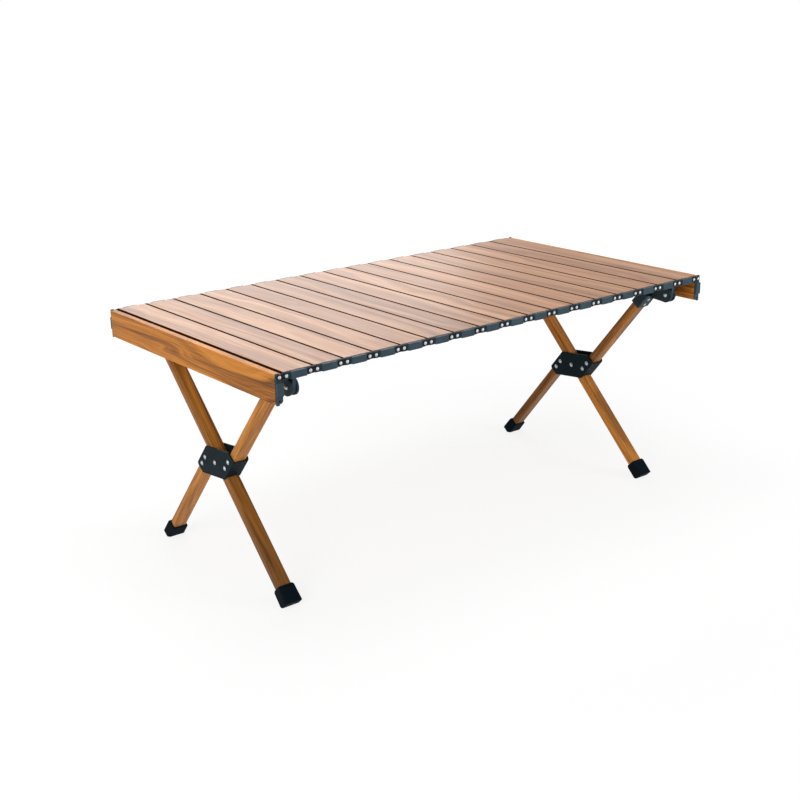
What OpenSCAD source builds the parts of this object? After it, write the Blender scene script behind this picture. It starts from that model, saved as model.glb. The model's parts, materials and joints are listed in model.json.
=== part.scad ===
// Roll top camp table: a chain of hinged slats on two folding cross-leg trestles.
// Frame in millimetres: X along the table, Y across it with the near edge negative, Z up from the floor.

/* [Top] */
// Height of the table top above the floor
table_height = 521; // [500:3:548]
// Distance from one slat to the next
pitch = 69; // [66:0.5:74]
// Open joint between two slats
slat_gap = 3.5; // [3:0.1:4]
// Length of a slat's extrusion, across the table
slat_length = 636; // [600:2:680]
// Thickness of a slat
slat_thick = 16; // [15:0.5:18]
// Wall of the slat's extrusion
slat_wall = 1.4; // [1:0.1:2]
// Rounding of a slat's upper edges
slat_top_round = 1; // [0.8:0.1:1.6]
// Rounding of a slat's lower edges
slat_low_round = 4.5; // [4:0.1:5]
// Distance between the two inner webs of a slat
web_spacing = 22; // [18:1:26]
// Width of the end boards that hang down
apron_width = 58; // [55:1:68]

/* [Edge caps and links] */
// Thickness of a cap's flange
cap_flange = 3; // [2.5:0.1:4]
// How far a cap's middle stands out from the flange
cap_boss_out = 4; // [3.8:0.1:5]
// Length of a cap's raised middle, along the edge
cap_boss_length = 34; // [28:1:38]
// Step from a slat's faces down to the cap's edges
cap_step = 0.9; // [0.6:0.1:1.2]
// How far a cap's plugs reach into the slat
plug_depth = 12; // [9:1:18]
// Distance between a link's two rivets
link_rivets = 15.5; // [14:0.5:17]
// Height of a link plate
link_high = 11; // [9.5:0.5:12]
// Thickness of a link plate
link_thick = 1.8; // [1.2:0.1:2]
// Diameter of a link rivet's shank
rivet_shank = 4; // [3:0.5:5]
// Diameter of a rivet's head
rivet_head = 7.4; // [6.5:0.1:8]
// Height of a rivet's domed head
rivet_dome = 1.7; // [1.2:0.1:1.9]

/* [Trestles] */
// Distance from the outermost link to a trestle's middle plane
trestle_inset = 54; // [46:1:56]
// Height of the hub's centre bolt above the floor
hub_height = 244.87; // [230:0.01:260]
// Distance from the middle to a foot, across the table
foot_spread = 240; // [230:1:250]
// Sideways step of each half leg from the hub's centre
half_leg_step = 31; // [30:0.5:34]
// Distance from the middle to a top pivot, across the table
pivot_spread = 276; // [268:1:280]
// Drop of the top pivots below the table top
pivot_drop = 46; // [44:1:54]
// Width of a leg tube along the table
tube_wide = 31; // [28:1:32]
// Width of a leg tube in the plane of the trestle
tube_deep = 20; // [18:0.5:20.5]
// Rounding of a leg tube's edges
tube_round = 4; // [2:0.5:5]
// Wall of a leg tube
tube_wall = 1.5; // [1.2:0.1:2.5]
// Thickness of the hub shells' outer walls
hub_wall = 3; // [2.5:0.1:4]
// Diameter of the hub bolts
bolt_shank = 6; // [5:0.5:7]
// Diameter of the hub bolts' heads
bolt_head = 10; // [9:0.5:12]
// Wall of a top bracket round its tube
bracket_wall = 2.6; // [2:0.1:3]
// Radius of a bracket's round end
bracket_end = 18; // [15:0.5:19]
// Diameter of the top pivot pins
pin_shank = 8; // [6:0.5:9]
// Thickness of the hanger's and the catch's ears
ear_thick = 8; // [6:0.5:10]
// Length of a foot along its leg
foot_length = 46; // [40:1:52]
// Wall of a foot at its upper rim
foot_wall = 2.6; // [2.2:0.1:3.2]

/* [Fits] */
// Running clearance of the hinge pins and rivets, on each side
pin_clear = 0.1; // [0.08:0.01:0.15]
// Clearance between pieces that are pushed together, on each side
fit_clear = 0.15; // [0.1:0.01:0.25]
// Clearance between faces that slide past one another
slide_clear = 0.4; // [0.3:0.05:0.5]

/* [Hidden] */
$fn = 48;
slat_count = 17;
middle_slat = (slat_count + 1) / 2;
long_cut = 4 * slat_length;

// Slats, caps and links
slat_width = pitch - slat_gap;
hinge_z = table_height - slat_thick / 2;
rivet_inset = (link_rivets - slat_gap) / 2;
end_link_x = slat_count * pitch / 2;
flange_y = slat_length / 2;
link_y = flange_y + cap_flange + pin_clear;
head_y = link_y + link_thick + pin_clear;
cap_top = slat_thick / 2 - cap_step;
nose_reach = slat_gap / 2 - fit_clear;
nose_low = rivet_shank / 8;
low_cut = slat_gap / 2;
low_chamfer = slat_low_round - cap_step;
end_round = link_high / 2;
web_wall = slat_wall;

// Trestle lines, seen along X as (Y, Z)
trestle_x = end_link_x - trestle_inset;
foot_reach = norm([foot_spread, hub_height]);
long_angle = atan2(hub_height, foot_spread);
split_angle = long_angle + asin(half_leg_step / foot_reach);
pivot_z = table_height - pivot_drop;
pivot_rise = pivot_z - hub_height;
long_along = pivot_spread * cos(long_angle) + pivot_rise * sin(long_angle);
long_crank = pivot_spread * sin(long_angle) - pivot_rise * cos(long_angle);
split_along = pivot_spread * cos(split_angle) + pivot_rise * sin(split_angle);
split_crank = pivot_spread * sin(split_angle) - pivot_rise * cos(split_angle) - half_leg_step;
long_low = hub_height / sin(long_angle);
split_low = (hub_height + half_leg_step * cos(split_angle)) / sin(split_angle);

// Hub
hub_inner = tube_wide / 2 + slide_clear;
hub_outer = hub_inner + hub_wall;
half_leg_clear = 2.5;
half_leg_start = tube_deep / 2 + half_leg_clear;
bolt_from_end = 11;
bolt_spacing = 22;
hub_beyond = 17;
bolt_first = half_leg_start + bolt_from_end;
bolt_second = bolt_first + bolt_spacing;
hub_end = bolt_second + hub_beyond;
hub_side = half_leg_step + tube_deep / 2 + fit_clear;
hub_rim = hub_side + hub_wall;
hub_corner = 4;
hub_tip = tube_deep + 2 * hub_wall;
hub_wall_start = 6;
dome_rise = 2.6;
washer_thick = 1;

// Brackets
sleeve_long = 40;
bracket_rivet_start = 10;
bracket_rivet_gap = 18;
neck_before = 4;
pin_head = pin_shank + 3;
tube_stop = 34;
sleeve_end = 30;
sleeve_half = tube_deep / 2 + bracket_wall;
bracket_half = tube_wide / 2 + bracket_wall;
ear_slot = ear_thick / 2 + slide_clear;
ear_sweep = bracket_end + 9;
head_cheek = 4.5;
head_half = ear_slot + head_cheek;
head_out = bracket_half - head_half;

// Hanger and catch
slat_under = table_height - slat_thick;
ear_base = 3;
ear_round = bracket_end - 3;
base_half = 36;
base_wide = tube_wide - 1;
ear_root = ear_round + 2;
screw_head = 7;
screw_dome = 1.4;
screw_place = base_half - 7;

// Feet
foot_plug_gap = 14;
foot_flare = 1.2;
foot_side_flare = 3;
foot_edge = 4;
foot_toe = 1.5;
foot_sole = 6;
foot_wide = tube_wide / 2 + foot_wall;
foot_deep = tube_deep / 2 + foot_wall;

ink = "#22262b";
wood = "#b07a4a";
steel = "#c9ccd0";
rubber = "#1b1c1e";

// Rectangle with its own rounding above and below
module soft_bar(wide, high, top_r, low_r) {
    polygon([
        [-wide / 2 + low_r, -high / 2], [wide / 2 - low_r, -high / 2],
        [wide / 2, -high / 2 + low_r], [wide / 2, high / 2 - top_r],
        [wide / 2 - top_r, high / 2], [-wide / 2 + top_r, high / 2],
        [-wide / 2, high / 2 - top_r], [-wide / 2, -high / 2 + low_r]
    ]);
    for (side = [-1, 1]) {
        translate([side * (wide / 2 - top_r), high / 2 - top_r]) circle(top_r);
        translate([side * (wide / 2 - low_r), -high / 2 + low_r]) circle(low_r);
    }
}

// Extrudes a shape drawn as (X, Z) along Y, from one place to another
module along_y(from, to) {
    translate([0, to, 0]) rotate([90, 0, 0]) linear_extrude(to - from) children();
}

// Extrudes a shape drawn as (Y, Z) along X, the same to both sides
module along_x(wide) {
    rotate([90, 0, 90]) linear_extrude(wide, center = true) children();
}

// Repeats a piece at the near edge and, mirrored, at the far edge
module both_edges() {
    for (far = [0, 1]) mirror([0, far, 0]) children();
}

// Domed rivet or screw head, rising along Z from its seat
module dome(wide, rise) {
    ball = (wide * wide / 4 + rise * rise) / (2 * rise);
    intersection() {
        translate([0, 0, rise - ball]) sphere(ball);
        cylinder(h = rise, d = wide);
    }
}

// Hollow board of a given width, centred on its own hinge line
module board(wide) {
    low_r = slat_low_round - slat_wall;
    top_r = max(slat_top_round - slat_wall / 2, slat_wall / 8);
    along_y(-slat_length / 2, slat_length / 2) difference() {
        soft_bar(wide, slat_thick, slat_top_round, slat_low_round);
        difference() {
            soft_bar(wide - 2 * slat_wall, slat_thick - 2 * slat_wall, top_r, low_r);
            for (side = [-1, 1]) {
                translate([side * web_spacing / 2, 0]) square([web_wall, slat_thick], center = true);
            }
        }
    }
}

// Outline of a cap's flange: stop noses above the hinge line, cut back below it
module flange_outline(wide) {
    top_half = wide / 2 + nose_reach;
    low_half = wide / 2 - low_cut;
    polygon([
        [-top_half, nose_low], [-top_half, cap_top], [top_half, cap_top], [top_half, nose_low],
        [low_half, nose_low], [low_half, -cap_top + low_chamfer], [low_half - low_chamfer, -cap_top],
        [low_chamfer - low_half, -cap_top], [-low_half, -cap_top + low_chamfer], [-low_half, nose_low]
    ]);
}

// Outline of one plug, with its outer corners cut to clear the board's inner rounding
module plug_outline(from, to, half) {
    low_cut_off = slat_low_round - slat_wall;
    polygon([
        [from, -half], [to - low_cut_off, -half], [to, -half + low_cut_off],
        [to, half - slat_top_round], [to - slat_top_round, half], [from, half]
    ]);
}

// Nylon cap at the near end of a board: flange, raised middle and two plugs bored for the rivets
module cap(wide) {
    boss = cap_boss_length + wide - slat_width;
    plug_high = slat_thick - 2 * (slat_wall + fit_clear);
    plug_from = (web_spacing + web_wall) / 2 + fit_clear;
    plug_to = wide / 2 - slat_wall - fit_clear;
    bore = rivet_shank + 2 * pin_clear;
    difference() {
        union() {
            along_y(-flange_y - cap_flange, -flange_y) flange_outline(wide);
            along_y(-flange_y - cap_flange - cap_boss_out, -flange_y - cap_flange / 2) {
                soft_bar(boss, 2 * cap_top, slat_top_round, slat_top_round);
            }
            for (side = [0, 1]) mirror([side, 0, 0]) {
                along_y(-flange_y - cap_flange / 2, -flange_y + plug_depth) {
                    plug_outline(plug_from, plug_to, plug_high / 2);
                }
            }
        }
        for (side = [-1, 1]) {
            translate([side * (wide / 2 - rivet_inset), -flange_y - 2 * cap_flange, 0]) rotate([-90, 0, 0]) {
                cylinder(h = plug_depth + 4 * cap_flange, d = bore);
            }
        }
    }
}

// Link plate over a joint at x = 0, with its two rivets
module link() {
    shank = head_y - flange_y + plug_depth - 2 * pin_clear;
    along_y(-link_y - link_thick, -link_y) difference() {
        union() {
            square([link_rivets, link_high], center = true);
            for (side = [-1, 1]) translate([side * link_rivets / 2, 0]) circle(end_round);
        }
        for (side = [-1, 1]) {
            translate([side * link_rivets / 2, 0]) circle(d = rivet_shank + 2 * pin_clear);
        }
    }
    for (side = [-1, 1]) {
        translate([side * link_rivets / 2, -head_y, 0]) rotate([90, 0, 0]) {
            dome(rivet_head, rivet_dome);
            mirror([0, 0, 1]) cylinder(h = shank, d = rivet_shank);
        }
    }
}

function slat_x(index) = (index - middle_slat) * pitch;

module slat(index) {
    color(wood) translate([slat_x(index), 0, hinge_z]) board(slat_width);
}

// A slat's two caps, with the links that lead from it towards the nearer end of the table
module slat_ends(index) {
    color(ink) translate([slat_x(index), 0, hinge_z]) both_edges() {
        cap(slat_width);
        if (index <= middle_slat) translate([-pitch / 2, 0, 0]) link();
        if (index >= middle_slat) translate([pitch / 2, 0, 0]) link();
    }
}

// Turns an end board down from the left end link's outer rivet
module hung() {
    translate([-end_link_x - link_rivets / 2, 0, hinge_z]) rotate([0, -90, 0]) {
        translate([rivet_inset - apron_width / 2, 0, 0]) children();
    }
}

module apron() {
    color(wood) hung() board(apron_width);
}

module apron_ends() {
    color(ink) hung() both_edges() cap(apron_width);
}

// Places a piece on the left trestle's plane, with its own Z along a leg and Y square to it
module on_leg(angle) {
    translate([-trestle_x, 0, hub_height]) rotate([angle - 90, 0, 0]) children();
}

module on_long_leg() {
    on_leg(long_angle) children();
}

// The split leg leans the other way, so its own Y is turned to point outwards
module on_split_leg() {
    on_leg(180 - split_angle) mirror([0, 1, 0]) children();
}

// Hollow leg tube between two places along its leg
module tube(from, to) {
    translate([0, 0, from]) linear_extrude(to - from) difference() {
        soft_bar(tube_wide, tube_deep, tube_round, tube_round);
        soft_bar(
            tube_wide - 2 * tube_wall, tube_deep - 2 * tube_wall,
            tube_round - tube_wall / 2, tube_round - tube_wall / 2
        );
    }
}

// Bores along the table, for the hub's bolts
module bolt_bores(places) {
    for (place = places) translate([0, 0, place]) rotate([0, 90, 0]) {
        cylinder(h = 2 * tube_wide, d = bolt_shank + 2 * pin_clear, center = true);
    }
}

// Bores through a leg's broad faces, for the rivets of its bracket
module rivet_bores(along) {
    for (place = bracket_rivets(along)) translate([0, 0, place]) rotate([90, 0, 0]) {
        cylinder(h = 4 * tube_deep, d = rivet_shank + 2 * pin_clear, center = true);
    }
}

function bracket_rivets(along) = [
    for (step = [0, 1]) along - tube_stop - sleeve_long + bracket_rivet_start + step * bracket_rivet_gap
];

module long_leg() {
    color(wood) on_long_leg() difference() {
        tube(-long_low + foot_plug_gap, long_along - tube_stop);
        rivet_bores(long_along);
        bolt_bores([0]);
    }
}

module upper_half_leg() {
    color(wood) on_split_leg() translate([0, half_leg_step, 0]) difference() {
        tube(half_leg_start, split_along - tube_stop);
        rivet_bores(split_along);
        bolt_bores([bolt_first, bolt_second]);
    }
}

module lower_half_leg() {
    color(wood) on_split_leg() translate([0, -half_leg_step, 0]) difference() {
        tube(-split_low + foot_plug_gap, -half_leg_start);
        bolt_bores([-bolt_first, -bolt_second]);
    }
}

// Hub outline in the split leg's own plane: two lobes, one over each half leg
module hub_outline() {
    for (turn = [0, 180]) rotate(turn) polygon([
        [-hub_rim, 0], [hub_rim, 0], [hub_rim, hub_end - hub_corner], [hub_rim - hub_corner, hub_end],
        [hub_rim - hub_tip, hub_end]
    ]);
}

// One shell of the hub: a plate with a rim wall along each half leg's outer side
module hub_shell(side) {
    depth = hub_outer - slide_clear / 2;
    color(ink) on_split_leg() difference() {
        union() {
            translate([side * (hub_inner + hub_wall / 2), 0, 0]) along_x(hub_wall) hub_outline();
            for (lobe = [-1, 1]) {
                wall_from = lobe > 0 ? hub_wall_start : -hub_end + hub_corner;
                wall_long = hub_end - hub_corner - hub_wall_start;
                translate([
                    side > 0 ? slide_clear / 2 : -depth,
                    lobe > 0 ? hub_side : -hub_rim,
                    wall_from
                ]) cube([depth, hub_wall, wall_long]);
            }
        }
        for (place = hub_bolt_places()) translate([0, place[0], place[1]]) rotate([0, 90, 0]) {
            cylinder(h = 4 * hub_outer, d = bolt_shank + 2 * pin_clear, center = true);
        }
    }
}

function hub_bolt_places() = [
    [0, 0],
    [half_leg_step, bolt_first], [half_leg_step, bolt_second],
    [-half_leg_step, -bolt_first], [-half_leg_step, -bolt_second]
];

// Five bolts with a washer and a domed head on both faces of the hub
module hub_bolts() {
    seat = hub_outer + pin_clear;
    color(steel) on_split_leg() for (place = hub_bolt_places()) translate([0, place[0], place[1]]) {
        rotate([0, 90, 0]) cylinder(h = 2 * seat + washer_thick, d = bolt_shank, center = true);
        for (side = [0, 1]) mirror([side, 0, 0]) translate([seat, 0, 0]) rotate([0, 90, 0]) {
            cylinder(h = washer_thick, d = bolt_head);
            translate([0, 0, washer_thick]) dome(bolt_head - 2 * washer_thick, dome_rise);
        }
    }
}

// Cranked top bracket: a sleeve round the tube's end, a bent neck and a round forked end at the outer side
module bracket(along, crank) {
    neck_low = along - tube_stop - neck_before;
    difference() {
        union() {
            along_x(2 * bracket_half) translate([-sleeve_half, along - tube_stop - sleeve_long]) {
                square([2 * sleeve_half, sleeve_long + tube_stop - sleeve_end]);
            }
            translate([-head_out, 0, 0]) along_x(2 * head_half) {
                polygon([
                    [-sleeve_half, along - sleeve_end], [sleeve_half, neck_low],
                    [crank + bracket_end * sin(long_angle), along - bracket_end * cos(long_angle)],
                    [crank - bracket_end * sin(long_angle), along + bracket_end * cos(long_angle)],
                    [-sleeve_half / 2, along - sleeve_end / 2]
                ]);
                translate([crank, along]) circle(bracket_end);
            }
        }
        translate([0, 0, along - tube_stop - sleeve_long - 1]) {
            linear_extrude(sleeve_long + 1 + fit_clear) soft_bar(
                tube_wide + 2 * fit_clear, tube_deep + 2 * fit_clear,
                tube_round + fit_clear, tube_round + fit_clear
            );
        }
        translate([-head_out, crank, along]) rotate([0, 90, 0]) {
            cylinder(h = 2 * ear_slot, r = ear_sweep, center = true);
            cylinder(h = 4 * bracket_half, d = pin_shank + 2 * pin_clear, center = true);
        }
        rivet_bores(along);
    }
}

// Pin along its own Z with a domed head on both ends, which sit at a given distance from its middle
module headed_pin(half, shank, head, rise) {
    seat = half + pin_clear;
    cylinder(h = 2 * seat + rise, d = shank, center = true);
    for (side = [0, 1]) mirror([0, 0, side]) translate([0, 0, seat]) dome(head, rise);
}

// A bracket with its pivot pin and the two rivets that hold it on its tube
module pinned_bracket(along, crank) {
    bracket(along, crank);
    translate([-head_out, crank, along]) rotate([0, 90, 0]) {
        headed_pin(head_half, pin_shank, pin_head, dome_rise);
    }
    for (place = bracket_rivets(along)) translate([0, 0, place]) rotate([90, 0, 0]) {
        headed_pin(sleeve_half, rivet_shank, rivet_head, rivet_dome);
    }
}

module long_leg_bracket() {
    color(ink) on_long_leg() pinned_bracket(long_along, long_crank);
}

module half_leg_bracket() {
    color(ink) on_split_leg() translate([0, half_leg_step, 0]) pinned_bracket(split_along, split_crank);
}

// Plate under the slat with two screws, where a hanger or a catch is fixed; Y is its own middle
module ear_plate() {
    translate([-base_wide / 2, -base_half, slat_under - ear_base]) cube([base_wide, 2 * base_half, ear_base]);
    for (side = [-1, 1]) translate([0, side * screw_place, slat_under - ear_base]) {
        mirror([0, 0, 1]) dome(screw_head, screw_dome);
    }
}

// Ear drawn as (Y, Z) about the pivot: a round eye under a tapered root
module ear_outline() {
    root_z = slat_under - ear_base / 2 - pivot_z;
    circle(ear_round);
    polygon([[-ear_round, 0], [ear_round, 0], [ear_root, root_z], [-ear_root, root_z]]);
}

// Near side: the eye that the half leg's bracket turns on. Far side: the open hook for the long leg's pin
module hangers() {
    color(ink) translate([-trestle_x - head_out, 0, 0]) {
        translate([0, -pivot_spread, 0]) difference() {
            union() {
                ear_plate();
                translate([0, 0, pivot_z]) along_x(ear_thick) ear_outline();
            }
            translate([0, 0, pivot_z]) rotate([0, 90, 0]) {
                cylinder(h = 2 * ear_thick, d = pin_shank + 2 * pin_clear, center = true);
            }
        }
        translate([0, pivot_spread, 0]) {
            ear_plate();
            translate([0, 0, pivot_z]) along_x(ear_thick) difference() {
                ear_outline();
                circle(d = pin_shank + 2 * slide_clear);
                translate([-4 * ear_root, -pin_shank / 2 - slide_clear]) {
                    square([4 * ear_root, pin_shank + 2 * slide_clear]);
                }
            }
        }
    }
}

// Rubber foot on a leg's lower end: a block that flares to its square end and stands on its lower edge
module foot(low, angle) {
    rim = -low + foot_length;
    deep = foot_deep + foot_flare;
    wide = foot_wide + foot_side_flare;
    base = -low + deep / tan(angle) - foot_sole / sin(angle);
    difference() {
        intersection() {
            along_x(4 * foot_wide) foot_side(foot_deep, deep, base, rim);
            rotate([90, 0, 0]) linear_extrude(4 * foot_deep, center = true) {
                foot_side(foot_wide, wide, base, rim);
            }
            translate([0, 0, base]) linear_extrude(2 * foot_length) polygon([
                [-wide, foot_edge - deep], [foot_edge - wide, -deep],
                [wide - foot_edge, -deep], [wide, foot_edge - deep],
                [wide, deep - foot_edge], [wide - foot_edge, deep],
                [foot_edge - wide, deep], [-wide, deep - foot_edge]
            ]);
        }
        translate([0, 0, -low + foot_plug_gap - fit_clear]) linear_extrude(2 * foot_length) soft_bar(
            tube_wide + 2 * fit_clear, tube_deep + 2 * fit_clear,
            tube_round + fit_clear, tube_round + fit_clear
        );
    }
}

// Side view of a foot, from its flared end to its rim
module foot_side(top_half, low_half, base, rim) {
    polygon([
        [foot_toe - low_half, base], [low_half - foot_toe, base], [low_half, base + foot_toe],
        [top_half, rim - foot_edge], [top_half - foot_edge / 2, rim], [foot_edge / 2 - top_half, rim],
        [-top_half, rim - foot_edge], [-low_half, base + foot_toe]
    ]);
}

// Removes what lies below the floor
module above_floor() {
    difference() {
        children();
        translate([0, 0, -long_cut / 2]) cube(long_cut, center = true);
    }
}

module long_leg_foot() {
    color(rubber) above_floor() on_long_leg() foot(long_low, long_angle);
}

module half_leg_foot() {
    color(rubber) above_floor() on_split_leg() translate([0, -half_leg_step, 0]) foot(split_low, split_angle);
}

// Makes the right end's piece from the left end's
module right() {
    mirror([1, 0, 0]) children();
}

module left_apron() apron();
module left_apron_ends() apron_ends();
module left_hangers() hangers();
module left_long_leg() long_leg();
module left_upper_half_leg() upper_half_leg();
module left_lower_half_leg() lower_half_leg();
module left_hub_outer_shell() hub_shell(-1);
module left_hub_inner_shell() hub_shell(1);
module left_hub_bolts() hub_bolts();
module left_long_leg_bracket() long_leg_bracket();
module left_half_leg_bracket() half_leg_bracket();
module left_long_leg_foot() long_leg_foot();
module left_half_leg_foot() half_leg_foot();
module right_apron() right() apron();
module right_apron_ends() right() apron_ends();
module right_hangers() right() hangers();
module right_long_leg() right() long_leg();
module right_upper_half_leg() right() upper_half_leg();
module right_lower_half_leg() right() lower_half_leg();
module right_hub_outer_shell() right() hub_shell(-1);
module right_hub_inner_shell() right() hub_shell(1);
module right_hub_bolts() right() hub_bolts();
module right_long_leg_bracket() right() long_leg_bracket();
module right_half_leg_bracket() right() half_leg_bracket();
module right_long_leg_foot() right() long_leg_foot();
module right_half_leg_foot() right() half_leg_foot();

// The slats and their ends stand first in NODES, in order along the table
for (index = [1 : slat_count]) {
    slat(index);
    slat_ends(index);
}
left_apron();
left_apron_ends();
left_hangers();
left_long_leg();
left_upper_half_leg();
left_lower_half_leg();
left_hub_outer_shell();
left_hub_inner_shell();
left_hub_bolts();
left_long_leg_bracket();
left_half_leg_bracket();
left_long_leg_foot();
left_half_leg_foot();
right_apron();
right_apron_ends();
right_hangers();
right_long_leg();
right_upper_half_leg();
right_lower_half_leg();
right_hub_outer_shell();
right_hub_inner_shell();
right_hub_bolts();
right_long_leg_bracket();
right_half_leg_bracket();
right_long_leg_foot();
right_half_leg_foot();
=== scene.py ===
"""Roll top camp table: materials, stage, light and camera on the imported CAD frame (metres)."""
import json
import math

import bpy
from mathutils import Matrix, Vector


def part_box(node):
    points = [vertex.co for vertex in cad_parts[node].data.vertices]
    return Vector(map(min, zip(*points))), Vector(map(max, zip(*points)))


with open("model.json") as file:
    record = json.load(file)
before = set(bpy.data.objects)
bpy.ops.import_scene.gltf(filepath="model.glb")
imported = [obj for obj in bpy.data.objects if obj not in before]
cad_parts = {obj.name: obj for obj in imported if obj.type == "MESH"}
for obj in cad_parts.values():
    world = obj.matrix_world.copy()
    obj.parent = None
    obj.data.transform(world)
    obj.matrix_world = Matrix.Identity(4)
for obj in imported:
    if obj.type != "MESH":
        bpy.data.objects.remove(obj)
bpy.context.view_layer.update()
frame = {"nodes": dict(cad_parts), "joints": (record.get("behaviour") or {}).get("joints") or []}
NODES = frame["nodes"]
JOINTS = {joint["name"]: Vector(joint["pos_m"]) for joint in frame["joints"]}

X = Vector((1, 0, 0))
Y = Vector((0, 1, 0))
Z = Vector((0, 0, 1))

# Slats: a face belongs to a joint's sides if its normal leans more than JOINT_STEEP along the table; these
# sides are dark brown as painted shade in the gaps between slats
SLAT_COUNT = 17
MIDDLE_SLAT = (SLAT_COUNT + 1) // 2
SLAT_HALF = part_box("slat_09")[1].x
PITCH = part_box("slat_10")[1].x - SLAT_HALF
JOINT_STEEP = 0.35

# Links and rivets on the caps: where they lie beside a slat's middle, and how far out they start
HINGE_Z = JOINTS["top_roll"].z
RIVET_FAR = JOINTS["top_roll"].x
RIVET_NEAR = PITCH - RIVET_FAR
RIVET_REACH = 0.0042
LINK_NEAR = 0.0195
LINK_FAR = 0.0505
LINK_Y = 0.32105
HEAD_Y = 0.32295

# Trestles: the legs' angles at the hub, and the top pivots
HUB_Z = JOINTS["right_scissor"].z
FOOT_SPREAD = 0.240
HALF_LEG_STEP = 0.031
LONG_ANGLE = math.atan2(HUB_Z, FOOT_SPREAD)
SPLIT_ANGLE = LONG_ANGLE + math.asin(HALF_LEG_STEP / math.hypot(FOOT_SPREAD, HUB_Z))
PIVOT_X = JOINTS["right_leg_hinge"].x
PIVOT_Y = -JOINTS["right_leg_hinge"].y
PIVOT_Z = JOINTS["right_leg_hinge"].z

# Steel in the brackets: pin heads round the pivots, and rivet heads further down on the leg's faces
PIN_REACH = 0.006
PIN_FACE = 0.00895
SLEEVE_FACE = 0.01265
SLEEVE_NEAR = 0.041
SLEEVE_FAR = 0.069

# Wood film: how far the figure moves from board to board, and scales along and across the grain
SHIFT_ALONG = 2.37
SHIFT_ACROSS = 0.613
SHIFT_DEEP = 1.71
SWAY_SCALE = (1.7, 9.0)
RINGS_ALONG = 0.5
RINGS_ACROSS = 34.0
LINE_SCALE = (4.5, 210.0)
FIBRE_SCALE = (11.0, 620.0)
PORE_SCALE = (55.0, 1500.0)
FIBRE_SHARE = 0.20
BOARD_LEVELS = (0.93, 1.05)
# Painted light and shade along the legs: the film's tone runs from one level to another over this stretch
# along the grain
PAINTED_LIGHT_RUN = (-0.15, 0.50)

# At this spacing the left and the right side's legs and aprons count as boards of their own
SIDE_SPACING = 1.0

# Painted shade by the joints: the slats' film turns dark over a width, beginning at a reach from a slat's
# edge
EDGE_SHADE_REACH = 0.00225
EDGE_SHADE_START = SLAT_HALF - EDGE_SHADE_REACH
EDGE_SHADE_WIDTH = 0.0012

# Colours, and the tones of the film from its dark streaks to its pale ones
PORE_BROWN = (0.10, 0.045, 0.016)
# Painted shade colour for the slats' edges by the joints
EDGE_SHADE_BROWN = (0.135, 0.042, 0.010)
TOP_TONES = [
    (0.35, (0.180, 0.068, 0.021)),
    (0.45, (0.306, 0.128, 0.049)),
    (0.53, (0.410, 0.184, 0.076)),
    (0.63, (0.515, 0.260, 0.126)),
]
APRON_TONES = [
    (0.37, (0.125, 0.041, 0.006)),
    (0.445, (0.370, 0.126, 0.018)),
    (0.51, (0.635, 0.232, 0.031)),
    (0.62, (0.790, 0.320, 0.056)),
]
LEG_TONES = [
    (0.37, (0.120, 0.046, 0.010)),
    (0.455, (0.310, 0.118, 0.021)),
    (0.52, (0.505, 0.197, 0.033)),
    (0.63, (0.645, 0.265, 0.049)),
]

# Stage: the floor glows by itself, more with distance, so that it meets the white surroundings
FLOOR_HALF = 30.0
FLOOR_GREY = (0.86, 0.86, 0.86)
FLOOR_GLOW = 1.08
GLOW_RUN = (0.9, 2.4)
GLOW_SHARES = (0.76, 1.0)
SURROUND_LIGHT = 0.34
WHITE = (1, 1, 1)

# Camera, fitted to the photograph's corners, rivets and feet
CAMERA_PLACE = (-1.8078, -2.1718, 1.1913)
CAMERA_RIGHT = (0.7753, -0.6315, -0.0137)
CAMERA_AHEAD = (0.5966, 0.7393, -0.3124)
FOCAL_PIXELS = 1275.8
IMAGE_PIXELS = 800
SENSOR_WIDTH = 36


def opaque(colour):
    """The colour with full alpha."""
    return (*colour, 1)


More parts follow.
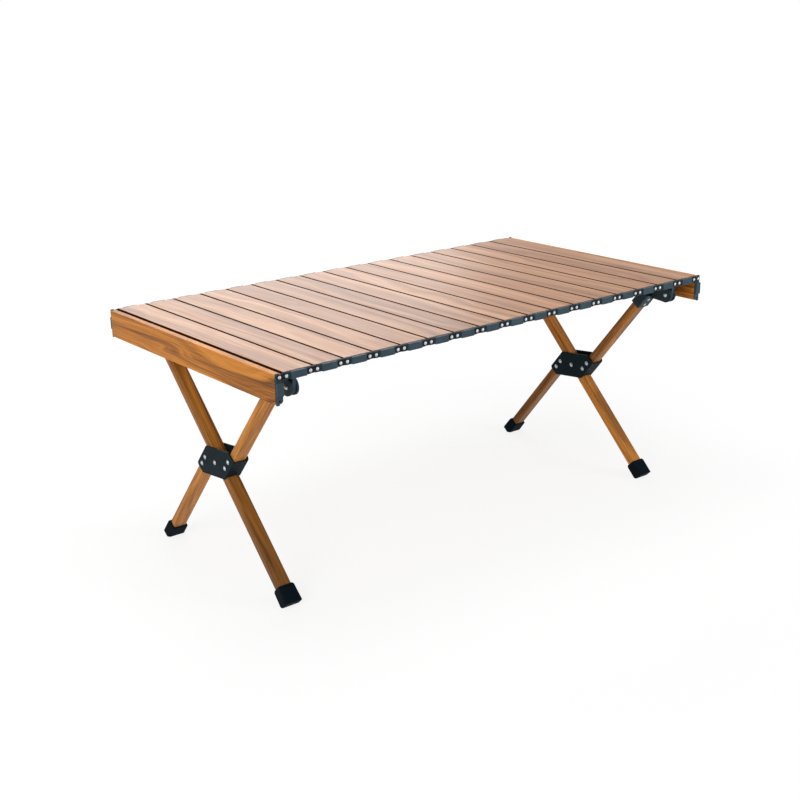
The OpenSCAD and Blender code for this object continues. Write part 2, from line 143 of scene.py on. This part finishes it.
class Shader:
    """A material with its Principled shader, and short calls that add nodes to it."""

    # The Mix node's sockets for colours, by number, because its other types have the same names
    MIX_FACTOR, MIX_FIRST, MIX_SECOND, MIX_RESULT = 0, 6, 7, 2

    def __init__(self, name):
        self.material = bpy.data.materials.new(name)
        self.material.use_nodes = True
        self.tree = self.material.node_tree
        self.surface = self.tree.nodes["Principled BSDF"]
        self.place = self.add("ShaderNodeTexCoord").outputs["Object"]

    def add(self, kind, sockets=None, **settings):
        node = self.tree.nodes.new(kind)
        for key, value in settings.items():
            setattr(node, key, value)
        for key, value in (sockets or {}).items():
            self.feed(node.inputs[key], value)
        return node

    def feed(self, socket, value):
        if isinstance(value, bpy.types.NodeSocket):
            self.tree.links.new(value, socket)
        else:
            socket.default_value = value

    def math(self, operation, first, second=0.0):
        return self.add("ShaderNodeMath", {0: first, 1: second}, operation=operation).outputs[0]

    def plus(self, first, second):
        return self.math("ADD", first, second)

    def minus(self, first, second):
        return self.math("SUBTRACT", first, second)

    def times(self, first, second):
        return self.math("MULTIPLY", first, second)

    def along(self, direction, scale=1.0):
        sockets = {0: self.place, 1: direction * scale}
        return self.add("ShaderNodeVectorMath", sockets, operation="DOT_PRODUCT").outputs["Value"]

    def vector(self, x, y, z):
        return self.add("ShaderNodeCombineXYZ", {0: x, 1: y, 2: z}).outputs[0]

    def noise(self, vector, scale=1.0, detail=2.0, rough=0.5, twist=0.0):
        return self.add("ShaderNodeTexNoise", {
            "Vector": vector, "Scale": scale, "Detail": detail, "Roughness": rough, "Distortion": twist,
        }).outputs["Fac"]

    def spread(self, value, over, to):
        """Takes the first range to the second one, and stays within it."""
        return self.add("ShaderNodeMapRange", {
            "Value": value, "From Min": over[0], "From Max": over[1], "To Min": to[0], "To Max": to[1],
        }).outputs["Result"]

    def ramp(self, value, stops):
        node = self.add("ShaderNodeValToRGB", {"Fac": value})
        points = node.color_ramp.elements
        while len(points) < len(stops):
            points.new(0.5)
        for point, (place, colour) in zip(points, stops):
            point.position = place
            point.color = opaque(colour)
        return node.outputs["Color"]

    def tint(self, first, second, factor, blend="MIX"):
        node = self.add("ShaderNodeMix", data_type="RGBA", blend_type=blend)
        self.feed(node.inputs[self.MIX_FACTOR], factor)
        self.feed(node.inputs[self.MIX_FIRST], first)
        self.feed(node.inputs[self.MIX_SECOND], second)
        return node.outputs[self.MIX_RESULT]

    def bump(self, height, strength, distance):
        node = self.add("ShaderNodeBump", {"Height": height, "Strength": strength, "Distance": distance})
        self.feed(self.surface.inputs["Normal"], node.outputs["Normal"])

    def set(self, **sockets):
        for key, value in sockets.items():
            self.feed(self.surface.inputs[key.replace("_", " ")], value)


def wood(name, grain, across, depth, spacing, tones, figure, lines, rough, shine, painted_light_ends=(1, 1), edge_shade_from=None):
    """Printed wood film: flame figure, fine lines and fibres along the grain, new on every board.

    The boards lie at a spacing along the table. The film's tone runs between two levels along the grain, as
    painted light and shade. Past a distance from the board's middle, if one is given, painted shade darkens
    the film towards the edge, and it turns dull there.
    """
    s = Shader(name)
    index = s.math("FLOOR", s.plus(s.along(X, 1 / spacing), 0.5))
    run = s.plus(s.along(grain), s.times(index, SHIFT_ALONG))
    side = s.plus(s.along(across), s.times(index, SHIFT_ACROSS))
    deep = s.plus(s.along(depth), s.times(index, SHIFT_DEEP))

    def stretched(along_scale, across_scale):
        return s.vector(
            s.times(run, along_scale),
            s.times(side, across_scale),
            s.times(deep, across_scale),
        )

    sway = s.noise(stretched(*SWAY_SCALE), twist=0.5)
    rings = s.plus(s.times(side, RINGS_ACROSS), s.times(sway, figure))
    streak = s.noise(s.vector(rings, s.times(run, RINGS_ALONG), index), detail=4.0, rough=0.62)
    line = s.noise(stretched(*LINE_SCALE))
    fibre = s.noise(stretched(*FIBRE_SCALE))
    pore = s.noise(stretched(*PORE_SCALE), detail=1.0)
    tone = s.plus(s.times(streak, 1 - FIBRE_SHARE), s.times(fibre, FIBRE_SHARE))
    tone = s.plus(tone, s.times(s.minus(line, 0.5), lines))
    colour = s.ramp(tone, tones)

    shade = s.add("ShaderNodeTexWhiteNoise", {"W": index}, noise_dimensions="1D").outputs["Value"]
    board_level = s.spread(shade, over=(0, 1), to=BOARD_LEVELS)
    # Random tone per board, times painted light and shade along the grain
    level = s.times(board_level, s.spread(s.along(grain), over=PAINTED_LIGHT_RUN, to=painted_light_ends))
    colour = s.tint(colour, s.vector(level, level, level), 1.0, "MULTIPLY")
    colour = s.tint(colour, opaque(PORE_BROWN), s.spread(pore, over=(0.60, 0.78), to=(0.0, 0.35)))
    # Painted shade: towards a slat's edge the film turns dark brown and loses its shine
    if edge_shade_from:
        offset = s.math("ABSOLUTE", s.minus(s.along(X), s.times(index, spacing)))
        edge_shaded = s.spread(offset, over=(edge_shade_from, edge_shade_from + EDGE_SHADE_WIDTH), to=(0.0, 1.0))
        colour = s.tint(colour, opaque(EDGE_SHADE_BROWN), edge_shaded)
        shine = s.spread(edge_shaded, over=(0.0, 1.0), to=(shine, 0.0))
    roughness = s.spread(fibre, over=(0.3, 0.7), to=(rough - 0.05, rough + 0.08))
    s.set(Base_Color=colour, Roughness=roughness, Specular_IOR_Level=shine)
    s.bump(s.minus(fibre, s.times(pore, 0.4)), strength=0.22, distance=0.0002)
    return s.material


def leg_wood(name, angle, lean, foot, top):
    """Leg film along a leg that leans to the given side, with painted light and shade: its tone's levels at
    foot and top.
    """
    return wood(
        name,
        grain=Vector((0, lean * math.cos(angle), math.sin(angle))),
        across=Vector((0, -lean * math.sin(angle), math.cos(angle))),
        depth=X, spacing=SIDE_SPACING, tones=LEG_TONES,
        figure=3.0, lines=0.22, rough=0.40, shine=0.15, painted_light_ends=(foot, top),
    )


def moulded(name, dark, pale, rough, grain, shine):
    """Moulded plastic or rubber: a fine pebbled skin, with faint clouds and rubbed patches."""
    s = Shader(name)
    cloud = s.noise(s.place, scale=26.0, detail=4.0, rough=0.6)
    pebble = s.noise(s.place, scale=grain)
    rub = s.noise(s.place, scale=160.0, detail=3.0, rough=0.7)
    rubbed = [2.5 * part for part in pale]
    colour = s.ramp(cloud, [(0.32, dark), (0.72, pale)])
    colour = s.tint(colour, opaque(rubbed), s.spread(rub, over=(0.58, 0.8), to=(0.0, 0.2)))
    roughness = s.spread(rub, over=(0.3, 0.75), to=(rough + 0.06, rough - 0.08))
    s.set(Base_Color=colour, Roughness=roughness, Specular_IOR_Level=shine)
    s.bump(pebble, strength=0.35, distance=0.00012)
    return s.material


def plated(name, colour, rough):
    """Bright zinc plating: a fine grain and dull patches."""
    s = Shader(name)
    patch = s.noise(s.place, scale=210.0, detail=3.0, rough=0.6)
    grain = s.noise(s.place, scale=2600.0, detail=1.0)
    dull = [0.8 * part for part in colour]
    tone = s.ramp(patch, [(0.3, dull), (0.7, colour)])
    roughness = s.spread(patch, over=(0.3, 0.75), to=(rough + 0.12, rough - 0.04))
    s.set(Base_Color=tone, Metallic=1.0, Roughness=roughness)
    s.bump(grain, strength=0.06, distance=0.00006)
    return s.material


# The slats' film, with painted shade along its edges by the joints
slat_wood = wood(
    "wood_grain_slat", grain=Y, across=X, depth=Z, spacing=PITCH, tones=TOP_TONES,
    figure=4.2, lines=0.2, rough=0.42, shine=0.45, edge_shade_from=EDGE_SHADE_START,
)
# Painted shade: near-black brown, dull, on the slats' sides facing the joints, for the shade in the gaps
joint_gap_shade = moulded(
    "joint_gap_shade", dark=(0.035, 0.009, 0.002), pale=(0.055, 0.016, 0.003),
    rough=0.75, grain=900.0, shine=0.0,
)
apron_wood = wood(
    "wood_grain_apron", grain=Y, across=Z, depth=X, spacing=SIDE_SPACING, tones=APRON_TONES,
    figure=6.5, lines=0.1, rough=0.42, shine=0.14,
)
# Each leg has its own copy of the film, with painted light and shade of its own: darker or lighter towards
# the foot and the top
long_leg_wood_painted_shading = {
    "left": leg_wood("wood_grain_left_long_leg_painted_shading", LONG_ANGLE, lean=1, foot=0.36, top=1.05),
    "right": leg_wood("wood_grain_right_long_leg_painted_shading", LONG_ANGLE, lean=1, foot=1.25, top=1.5),
}
split_leg_wood_painted_shading = {
    "left": leg_wood("wood_grain_left_split_leg_painted_shading", SPLIT_ANGLE, lean=-1, foot=1.05, top=1.6),
    "right": leg_wood("wood_grain_right_split_leg_painted_shading", SPLIT_ANGLE, lean=-1, foot=0.42, top=1.3),
}
edge_nylon = moulded(
    "edge_nylon", dark=(0.028, 0.052, 0.070), pale=(0.042, 0.076, 0.098),
    rough=0.46, grain=1900.0, shine=0.15,
)
link_black = moulded(
    "link_black", dark=(0.002, 0.005, 0.007), pale=(0.005, 0.010, 0.013),
    rough=0.44, grain=2600.0, shine=0.12,
)
trestle_nylon = moulded(
    "trestle_nylon", dark=(0.006, 0.013, 0.017), pale=(0.009, 0.019, 0.024),
    rough=0.55, grain=1700.0, shine=0.05,
)
hanger_black = moulded(
    "hanger_black", dark=(0.036, 0.066, 0.086), pale=(0.052, 0.092, 0.118),
    rough=0.50, grain=1700.0, shine=0.12,
)
bracket_nylon = moulded(
    "bracket_nylon", dark=(0.020, 0.038, 0.050), pale=(0.032, 0.058, 0.075),
    rough=0.50, grain=1700.0, shine=0.10,
)
foot_rubber = moulded(
    "foot_rubber", dark=(0.002, 0.005, 0.008), pale=(0.004, 0.009, 0.013),
    rough=0.62, grain=1300.0, shine=0.03,
)
rivet_steel = plated("rivet_steel", (0.50, 0.53, 0.56), rough=0.30)
bolt_steel = plated("bolt_steel", (0.44, 0.48, 0.51), rough=0.32)


def dress(name, material):
    """Gives a CAD node one material for all of its faces."""
    slots = NODES[name].data.materials
    slots.clear()
    slots.append(material)


def pick_sides(name, material, steep):
    """Gives another material to a node's faces that look along the table, towards the joints."""
    mesh = NODES[name].data
    mesh.materials.append(material)
    for face in mesh.polygons:
        if abs(face.normal.x) > steep:
            face.material_index = len(mesh.materials) - 1


def pick_faces(name, material, wanted):
    """Gives another material to a node's faces whose every corner is wanted."""
    mesh = NODES[name].data
    mesh.materials.append(material)
    chosen = [wanted(vertex.co) for vertex in mesh.vertices]
    for face in mesh.polygons:
        if all(chosen[corner] for corner in face.vertices):
            face.material_index = len(mesh.materials) - 1


def link_plate(middle):
    """Test for the corners of the link plates beside one slat's middle."""
    def test(corner):
        beside = LINK_NEAR < abs(corner.x - middle) < LINK_FAR
        return beside and LINK_Y < abs(corner.y) < HEAD_Y

    return test


def rivet_head(middle):
    """Test for the corners of the rivet heads round one slat's middle."""
    places = [middle + side * reach for side in (-1, 1) for reach in (RIVET_NEAR, RIVET_FAR)]

    def test(corner):
        gaps = [math.hypot(corner.x - place, corner.z - HINGE_Z) for place in places]
        return min(gaps) < RIVET_REACH and abs(corner.y) > HEAD_Y

    return test


def bracket_steel(sign, lean, angle, step):
    """Test for the corners of the pin heads and rivet heads in the bracket of one leg.

    The sign is the trestle's side. The leg leans to the near or far side at an angle, and its middle line
    is a step off the hub's centre.
    """
    def leg_place(out, high):
        return out * math.cos(angle) + (high - HUB_Z) * math.sin(angle)

    def test(corner):
        out = lean * corner.y
        below_pivot = leg_place(PIVOT_Y, PIVOT_Z) - leg_place(out, corner.z)
        offset = out * math.sin(angle) - (corner.z - HUB_Z) * math.cos(angle) - step
        riveted = SLEEVE_NEAR < below_pivot < SLEEVE_FAR and abs(offset) > SLEEVE_FACE
        beside = abs(corner.x - sign * PIVOT_X) > PIN_FACE
        pinned = beside and math.hypot(out - PIVOT_Y, corner.z - PIVOT_Z) < PIN_REACH
        return riveted or pinned

    return test


for number in range(1, SLAT_COUNT + 1):
    slat = f"slat_{number:02d}"
    ends = f"{slat}_ends"
    middle = (number - MIDDLE_SLAT) * PITCH
    dress(slat, slat_wood)
    # The slat's sides towards the joints take the painted shade brown
    pick_sides(slat, joint_gap_shade, JOINT_STEEP)
    dress(ends, edge_nylon)
    pick_faces(ends, link_black, link_plate(middle))
    pick_faces(ends, rivet_steel, rivet_head(middle))

for side, sign in (("left", -1), ("right", 1)):
    dress(f"{side}_apron", apron_wood)
    dress(f"{side}_apron_ends", edge_nylon)
    dress(f"{side}_hangers", hanger_black)
    dress(f"{side}_long_leg", long_leg_wood_painted_shading[side])
    dress(f"{side}_upper_half_leg", split_leg_wood_painted_shading[side])
    dress(f"{side}_lower_half_leg", split_leg_wood_painted_shading[side])
    dress(f"{side}_hub_outer_shell", trestle_nylon)
    dress(f"{side}_hub_inner_shell", trestle_nylon)
    dress(f"{side}_hub_bolts", bolt_steel)
    dress(f"{side}_long_leg_foot", foot_rubber)
    dress(f"{side}_half_leg_foot", foot_rubber)
    dress(f"{side}_long_leg_bracket", bracket_nylon)
    dress(f"{side}_half_leg_bracket", bracket_nylon)
    pick_faces(f"{side}_long_leg_bracket", rivet_steel, bracket_steel(sign, 1, LONG_ANGLE, 0.0))
    pick_faces(f"{side}_half_leg_bracket", rivet_steel, bracket_steel(sign, -1, SPLIT_ANGLE, HALF_LEG_STEP))


def seen_directly(tree):
    """Factor that is 1 for camera, glossy and transmission rays."""
    path = tree.nodes.new("ShaderNodeLightPath")
    total = path.outputs["Is Camera Ray"]
    for ray in ("Is Glossy Ray", "Is Transmission Ray"):
        either = tree.nodes.new("ShaderNodeMath")
        either.operation = "MAXIMUM"
        tree.links.new(total, either.inputs[0])
        tree.links.new(path.outputs[ray], either.inputs[1])
        total = either.outputs[0]
    return total


def make_floor():
    """Pale floor that keeps a soft shadow under the feet."""
    corners = [(x * FLOOR_HALF, y * FLOOR_HALF, 0) for x, y in ((-1, -1), (1, -1), (1, 1), (-1, 1))]
    mesh = bpy.data.meshes.new("floor")
    mesh.from_pydata(corners, [], [(0, 1, 2, 3)])
    floor = bpy.data.objects.new("floor", mesh)
    bpy.context.collection.objects.link(floor)
    s = Shader("pale_floor")
    s.set(Base_Color=opaque(FLOOR_GREY), Roughness=0.9)
    glow = s.add("ShaderNodeEmission", {"Color": opaque(WHITE), "Strength": FLOOR_GLOW})
    far = s.add("ShaderNodeVectorMath", {0: s.place}, operation="LENGTH").outputs["Value"]
    share = s.times(seen_directly(s.tree), s.spread(far, over=GLOW_RUN, to=GLOW_SHARES))
    mix = s.add("ShaderNodeMixShader", {0: share, 1: s.surface.outputs[0], 2: glow.outputs[0]})
    s.tree.links.new(mix.outputs[0], s.tree.nodes["Material Output"].inputs["Surface"])
    mesh.materials.append(s.material)


def make_world():
    """White surroundings: full white where they are seen, softer as light."""
    world = bpy.data.worlds.new("studio")
    bpy.context.scene.world = world
    world.use_nodes = True
    tree = world.node_tree
    level = tree.nodes.new("ShaderNodeMapRange")
    tree.links.new(seen_directly(tree), level.inputs["Value"])
    level.inputs["To Min"].default_value = SURROUND_LIGHT
    level.inputs["To Max"].default_value = 1.0
    back = tree.nodes["Background"]
    back.inputs["Color"].default_value = opaque(WHITE)
    tree.links.new(level.outputs["Result"], back.inputs["Strength"])


def make_camera():
    """Camera at the photograph's place; the image is square."""
    ahead = Vector(CAMERA_AHEAD).normalized()
    up = Vector(CAMERA_RIGHT).normalized().cross(ahead).normalized()
    right = ahead.cross(up)
    turn = Matrix((right, up, -ahead)).transposed().to_4x4()
    lens = bpy.data.cameras.new("camera")
    lens.sensor_width = SENSOR_WIDTH
    lens.lens = SENSOR_WIDTH * FOCAL_PIXELS / IMAGE_PIXELS
    camera = bpy.data.objects.new("camera", lens)
    bpy.context.collection.objects.link(camera)
    camera.matrix_world = Matrix.Translation(CAMERA_PLACE) @ turn
    bpy.context.scene.camera = camera


def softbox(name, place, target, wide, high, power, fan=180):
    """Soft lamp at a place, turned to a target. Its light fans out over an angle in degrees."""
    lamp = bpy.data.lights.new(name, "AREA")
    lamp.shape = "RECTANGLE"
    lamp.spread = math.radians(fan)
    lamp.size = wide
    lamp.size_y = high
    lamp.energy = power
    shown = bpy.data.objects.new(name, lamp)
    bpy.context.collection.objects.link(shown)
    shown.visible_camera = False
    shown.location = place
    shown.rotation_euler = (Vector(target) - Vector(place)).to_track_quat("-Z", "Y").to_euler()


make_floor()
make_world()
make_camera()
softbox("key", (-3.0, -1.3, 1.9), (-0.4, 0, 0.65), wide=1.8, high=1.8, power=9.5, fan=64)
softbox("back", (1.6, 3.2, 1.5), (-0.1, 0, 0.5), wide=2.2, high=1.3, power=28)
softbox("over", (-0.2, 0.2, 2.2), (0, 0, 0.5), wide=1.2, high=1.2, power=17)
softbox("fill", (1.9, -2.7, 0.95), (0.4, -0.1, 0.25), wide=1.2, high=1.2, power=29)
bpy.context.scene.view_settings.view_transform = "Standard"
